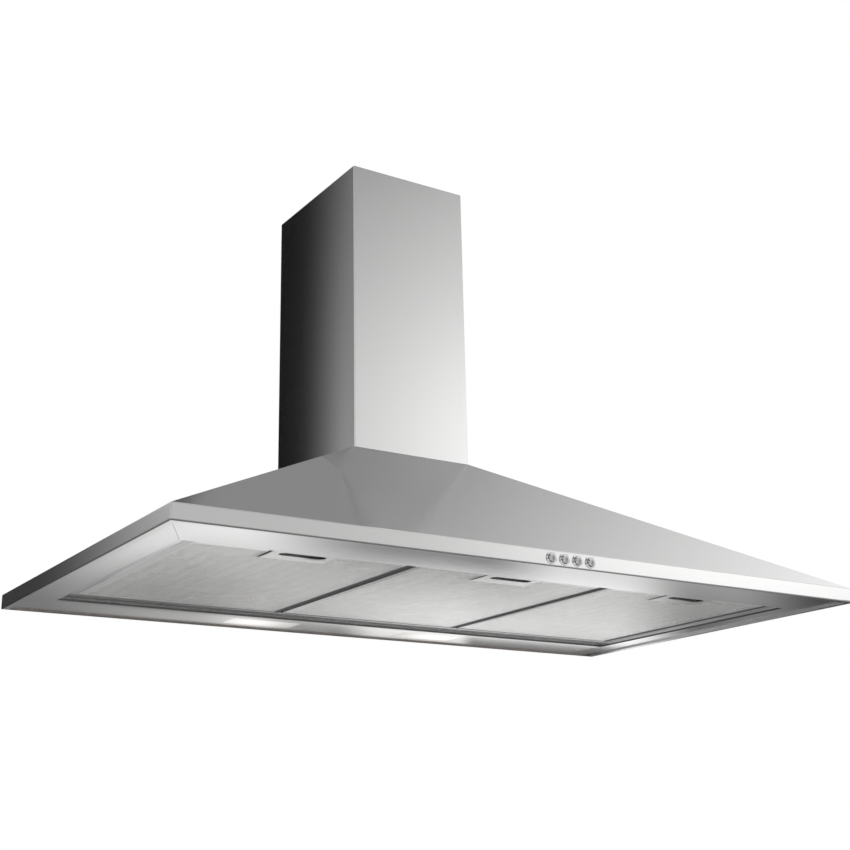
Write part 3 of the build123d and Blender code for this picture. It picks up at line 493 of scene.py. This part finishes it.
# Each finish with the beginnings of the names that wear it; the longest one that fits a node counts.
worn_by = (
    (canopy_steel, "canopy_skin"),
    (tray_steel, "tray_frame"),
    (panel_steel, "lamp_panel"),
    (chimney_steel, "chimney"),
    (zinc_sheet, "rear_panel", "filter_rails", "blower_deck", "scroll", "inlet_ring", "impeller"),
    (zinc_sheet, "motor_plate", "collar_base", "outlet_collar", "ceiling_bracket", "lamp_housings"),
    (lamp_lens, "lamp_lens"),
    (lamp_glass, "lamp_bulb"),
    (lamp_ceramic, "lamp_sockets"),
    (screw_zinc, "lamp_panel_screws", "motor_screws", "blower_screws", "bracket_rivets"),
    (screw_zinc, "impeller_nut", "motor_shaft", "flap_pin"),
    (motor_enamel, "motor"),
    (black_moulding, "flap", "switch_block", "cable_gland", "junction"),
    (white_moulding, "capacitor"),
    (button_chrome, "button"),
    (filter_strip, "filter"),
    (latch_steel, *(f"filter_{name}_latch" for name in filter_centres)),
    (filter_layers, *(f"filter_{name}_mesh" for name in filter_centres)),
    (handle_pressing, *(f"filter_{name}_handle" for name in filter_centres)),
)
finishes = {beginning: material for material, *beginnings in worn_by for beginning in beginnings}


def dress(item, material):
    """Puts one material on all of an object's slots."""
    if not item.data.materials:
        item.data.materials.append(material)
    for index in range(len(item.data.materials)):
        item.data.materials[index] = material


for node, item in nodes.items():
    match = max((beginning for beginning in finishes if node.startswith(beginning)), key=len)
    dress(item, finishes[match])


# New pieces


def solid_from(name, points, faces, material, body):
    """An object from an array of points and an array of four-cornered faces, riding on a body."""
    mesh = bpy.data.meshes.new(name)
    mesh.from_pydata(points.tolist(), [], faces.tolist())
    mesh.update()
    item = bpy.data.objects.new(name, mesh)
    scene.collection.objects.link(item)
    item.data.materials.append(material)
    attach(item, body)
    return item


def expanded_metal(name, centre, body):
    """The filter's first layer of expanded metal, cut out round the handle.

    Strand r runs along x as a zigzag: y = row * r + swing * (-1)^(r + k) at the corners x = k * half cell,
    so that neighbours touch at every second corner. Each strand is a flat bar of four sides, capped where
    it ends or is cut. The middle of the bars lies one bar's thickness above the frame's underside. Corners
    rise and fall by 0.02 mm, and the sheet has shallow creases, 0.06 mm high:
    sin(70 y + 2.2 sin(24 x)) * sin(31 x + 9 y + 1.3).
    """
    half_cell, row, swing = 2.9 * mm, 1.55 * mm, 0.62 * mm
    wide, thick, room = 0.62 * mm, 0.22 * mm, 1 * mm
    frame_low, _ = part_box(f"filter_{name}_frame")
    handle_low, handle_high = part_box(f"filter_{name}_handle")
    x_low, x_high = centre - filter_half + frame_lip, centre + filter_half - frame_lip
    y_low, y_high = frame_low[1] + frame_lip, frame_low[1] + filter_length - frame_lip
    z = frame_low[2] + thick
    corners = int((x_high - x_low) / half_cell)
    rows = int((y_high - y_low) / row)
    k, r = np.meshgrid(np.arange(corners + 1), np.arange(rows), indexing="xy")
    side = np.where((r + k) % 2 == 0, 1.0, -1.0)
    x = x_low + (x_high - x_low) * k / corners
    y = y_low + row * (r + 0.5) + swing * side
    crease = np.sin(70 * y + 2.2 * np.sin(24 * x)) * np.sin(31 * x + 1.3 + 9 * y)
    rise = 0.02 * mm * side + 0.06 * mm * crease
    ring = [(-wide / 2, -thick / 2), (wide / 2, -thick / 2), (wide / 2, thick / 2), (-wide / 2, thick / 2)]
    points = np.stack([np.stack([x, y + dy, z + rise + dz], -1) for dy, dz in ring], 2)
    index = np.arange(points.shape[0] * points.shape[1] * 4).reshape(points.shape[:3])
    a, b = index[:, :-1], index[:, 1:]
    turn = np.roll(np.arange(4), -1)
    quads = np.stack([a, a[:, :, turn], b[:, :, turn], b], -1)
    middle_x = (x[:, :-1] + x[:, 1:]) / 2
    middle_y = (y[:, :-1] + y[:, 1:]) / 2
    over_handle = (middle_x > handle_low[0] - room) & (middle_x < handle_high[0] + room)
    kept = ~(over_handle & (middle_y < handle_high[1] + room))
    around = np.pad(kept, ((0, 0), (1, 1)))
    starts, ends = kept & ~around[:, :-2], kept & ~around[:, 2:]
    quads = np.concatenate([quads[kept].reshape(-1, 4), a[starts][:, ::-1], b[ends]])
    used, quads = np.unique(quads, return_inverse=True)
    points, quads = points.reshape(-1, 3)[used], quads.reshape(-1, 4)
    solid_from(f"filter_{name}_strands", points, quads, filter_strands, body)


def ribbon_piece(name, outer, inner, material, body):
    """A closed strip between two rows of profile points, with both ends capped."""
    points = np.concatenate([outer, inner[:, ::-1]], 1)
    count = points.shape[1]
    index = np.arange(2 * count).reshape(2, count)
    sides = np.stack([index[0], np.roll(index[0], -1), np.roll(index[1], -1), index[1]], -1)
    steps = np.arange(count // 2 - 1)
    cap = np.stack([steps, count - 1 - steps, count - 2 - steps, steps + 1], -1)
    quads = np.concatenate([sides, index[0][cap], index[1][cap][:, ::-1]])
    item = solid_from(name, points.reshape(-1, 3), quads, material, body)
    shell = bmesh.new()
    shell.from_mesh(item.data)
    bmesh.ops.recalc_face_normals(shell, faces=shell.faces)
    shell.to_mesh(item.data)
    shell.free()


def rolled_rim(name, body):
    """The rounded lower front edge of a filter's frame.

    The profile is a quarter circle, y = front + r * (1 - cos(a)) and z = low + r * (1 - sin(a)) for a from
    0 to a right angle, carried along x; a second row just inside closes it.
    """
    frame_low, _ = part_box(f"filter_{name}_frame")
    radius, proud, inset, short = 0.9 * mm, 0.04 * mm, 0.3 * mm, 0.2 * mm
    both_ends = np.array([frame_low[0] + short, frame_low[0] + 2 * filter_half - short])
    a, x = np.meshgrid(np.linspace(0.0, math.pi / 2, 7), both_ends, indexing="xy")
    y = frame_low[1] - proud + radius * (1 - np.cos(a))
    z = frame_low[2] - proud + radius * (1 - np.sin(a))
    outer = np.stack([x, y, z], -1)
    inner = outer + (0.0, inset, inset)
    ribbon_piece(f"filter_{name}_rim", outer, inner, filter_strip, body)


def side_lip():
    """A folded lip on the tray that closes the gap beside the left filter.

    The profile eases down from the ledge to the frame, x = ledge + gap * t and
    z = top - drop * (1 - cos(pi t)) / 2 for t from 0 to 1, carried straight along y.
    """
    frame_low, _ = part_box("filter_left_frame")
    play, drop, thick = 0.03 * mm, 0.92 * mm, 0.3 * mm
    edge, top = -opening_x + play, frame_low[2] + 0.97 * mm
    gap = frame_low[0] - play - edge
    both_ends = np.array([frame_low[1], frame_low[1] + filter_length])
    t, y = np.meshgrid(np.linspace(0.0, 1.0, 9), both_ends, indexing="xy")
    low = np.stack([edge + gap * t, y, top - drop * (1 - np.cos(math.pi * t)) / 2], -1)
    ribbon_piece("tray_side_lip", low, low + (0.0, 0.0, thick), tray_steel, "hood")


for name, centre in filter_centres.items():
    expanded_metal(name, centre, f"filter_{name}")
    rolled_rim(name, f"filter_{name}")
side_lip()


# Studio


def flat_sheet(name, corners):
    """An object of one four-cornered face."""
    mesh = bpy.data.meshes.new(name)
    mesh.from_pydata(corners, [], [(0, 1, 2, 3)])
    item = bpy.data.objects.new(name, mesh)
    scene.collection.objects.link(item)
    return item


def card(name, start, end, foot, top, build, hole=None):
    """An upright lit board between two points of the plan, seen in reflections only and from its front."""
    corners = [(*start, foot), (*end, foot), (*end, top), (*start, top)]
    item = flat_sheet(name, corners)
    material = bpy.data.materials.new(name)
    material.use_nodes = True
    sheet = Sheet(material.node_tree)
    light = sheet.node("ShaderNodeEmission", {}, {"Strength": build(sheet)})
    sheet.show(sheet.one_sided(light, hole and hole(sheet)))
    item.data.materials.append(material)
    for rays in ("camera", "diffuse", "transmission", "shadow"):
        setattr(item, f"visible_{rays}", False)


def light_above(x, z):
    """Above the hood's foot: dark beside the metal, paler outwards and palest high up."""
    from_chimney = (x * -1.0 - chimney_half).ramp(0.0, 0.16) ** 2.6 * (1.95 - z * 2.1) * 0.51 + 0.012
    from_canopy = (x * -1.0 - hood_half).ramp(0.03, 0.25) ** 1.3 * 0.5 + 0.05
    left = blend(z.ramp(0.14, 0.22), from_canopy, from_chimney)
    right = (x - chimney_half).most(0.0) * 0.68 + 0.25
    return blend(z.ramp(0.72, 1.0), blend(x > 0.0, left, right), 0.9)


def light_for_border(x):
    """What the tray's border mirrors: a broad glow, a weak one on its left and two steps on its right."""
    steps = (1 - x.ramp(0.76, 0.98)) + (1 - x.ramp(0.53, 0.67))
    return x.bell(-0.155, 0.145) * 1.02 + x.bell(-0.43, 0.11) * 0.5 + x.ramp(0.25, 0.42) * steps * 0.35 + 0.06


def light_for_filters(x):
    """What the filters mirror: one broad glow with a soft crest, and a weak one on its left."""
    broad = x.plateau(-0.31, 0.20, 0.49, 0.68) * 1.32
    return broad + x.bell(-0.35, 0.07) * 0.16 + x.bell(0.21, 0.09) * 0.22 + 0.14


def light_for_panel(x):
    """What the lamp panel mirrors: a glow beside each lamp and a dark right end."""
    left = x.plateau(-0.42, -0.2, -0.12, -0.04) * 0.27 + x.bell(-0.125, 0.05) * 0.4
    right = x.plateau(0.0, 0.08, 0.205, 0.235) * 0.66 + x.bell(-0.02, 0.04) * 0.1 - x.ramp(0.38, 0.5) * 0.1
    return left + right + 0.22


def wall_light(sheet):
    """The board behind the hood; below the hood's foot come the panel's, the filters' and the border's light.

    The change from the filters' light to the border's is a little lower on the left. A streak slants across
    both where the left filter starts.
    """
    x, _, z = sheet.place()
    change = z + x.ramp(-0.3, -0.15) * 0.012
    below = blend(change.ramp(-0.099, -0.079), light_for_border(x), light_for_filters(x))
    streak = (x + z * 1.66).bell(-0.427, 0.045) * z.bell(-0.088, 0.033) * 0.62
    below = blend(z.ramp(-0.022, -0.012), below + streak, light_for_panel(x))
    return blend(z < 0.0, light_above(x, z), below)


def hood_outline(sheet):
    """1 behind the hood: the pyramid's back and the chimney."""
    x, _, z = sheet.place()
    half_wide = ((neck_z - z) * slope_run).most(0.0) + chimney_half
    return (x.abs() < half_wide.least(hood_half)) * (z > 0.0)


def front_light(sheet):
    """The board in front, brighter to the right, with a glow there.

    It darkens near the floor and from 1.2 m up, and its top, above 4 m, is bright again.
    """
    x, _, z = sheet.place()
    to_right = x.ramp(0.6, 4.2) * 0.56 + x.ramp(1.6, 2.2) * 0.15 - x.ramp(3.5, 3.65) * 0.32
    glow = z.bell(1.3, 0.5) * x.ramp(1.5, 2.4) * 0.58
    up_high = z.ramp(4.0, 4.6) * 0.6 - z.ramp(1.2, 2.6) * 0.28 - z.ramp(2.45, 3.1) * 0.66
    near_floor = z.ramp(-0.45, -0.1) * 0.94 + 0.06
    return (to_right + glow + up_high + 0.62).most(0.04) * near_floor


def side_light(sheet):
    """The boards left of the chimney: plain dark grey, for the left of the pyramid to mirror."""
    return 0.285


wall_y, studio_y, board_x = 0.002, -3.2, -0.170
board_foot, board_top, board_rear = 0.13, 0.9, -0.075
card("rear_board", (-3, wall_y), (3, wall_y), -0.9, 2.6, wall_light, hood_outline)
card("front_board", (5.5, studio_y), (-3.5, studio_y), -0.94, 4.6, front_light)
card("side_board", (board_x, board_rear), (board_x, -0.52), board_foot, board_top, side_light)
card("chimney_board", (board_x + mm, -0.215), (board_x + mm, board_rear), board_foot, board_top, side_light)


def floor():
    """The pale studio floor, well below the hood: clear when seen from below, and white far out."""
    level, reach = -0.95, 30.0
    corners = [(x * reach, y * reach, level) for x, y in ((-1, -1), (1, -1), (1, 1), (-1, 1))]
    item = flat_sheet("studio_floor", corners)

    def paint(sheet):
        cloud = sheet.noise(2.0)
        x, y, _ = sheet.place()
        far = (x * x + y * y).ramp(1.0, 16.0)
        colour = sheet.mix(far, sheet.mix(cloud, grey(0.86), grey(0.90)), grey(1.0))
        return {"Base Color": colour, "Roughness": cloud * 0.05 + 0.6}

    dress(item, finish("studio_paint", paint, one_sided=True))


floor()

world = bpy.data.worlds.new("studio")
scene.world = world
world.use_nodes = True
sky = Sheet(world.node_tree)
background = sky.node("ShaderNodeBackground", {}, {"Color": grey(1.0), "Strength": 1.0})
sky.show(background, "ShaderNodeOutputWorld")

# Camera: yaw to the right of +Y, pitch up, and a slight roll, as fitted to the photograph's corners.
yaw, pitch, roll = 0.57517, 0.30602, -0.01822
camera_place = (-0.924659, -1.666254, -0.303235)
focal_pixels, picture_pixels, sensor_width = 1404.441, 850, 36
ahead = np.array([math.sin(yaw) * math.cos(pitch), math.cos(yaw) * math.cos(pitch), math.sin(pitch)])
level_right = np.array([math.cos(yaw), -math.sin(yaw), 0.0])
level_up = np.cross(level_right, ahead)
right = level_right * math.cos(roll) + level_up * math.sin(roll)
up = level_up * math.cos(roll) - level_right * math.sin(roll)
camera_data = bpy.data.cameras.new("camera")
camera_data.sensor_width = sensor_width
camera_data.lens = focal_pixels * sensor_width / picture_pixels
camera_data.clip_start, camera_data.clip_end = 0.05, 50
camera = bpy.data.objects.new("camera", camera_data)
scene.collection.objects.link(camera)
pose = Matrix.Identity(4)
for row in range(3):
    pose[row][0], pose[row][1], pose[row][2] = right[row], up[row], -ahead[row]
pose.translation = camera_place
camera.matrix_world = pose
scene.camera = camera

scene.view_settings.view_transform = "Standard"
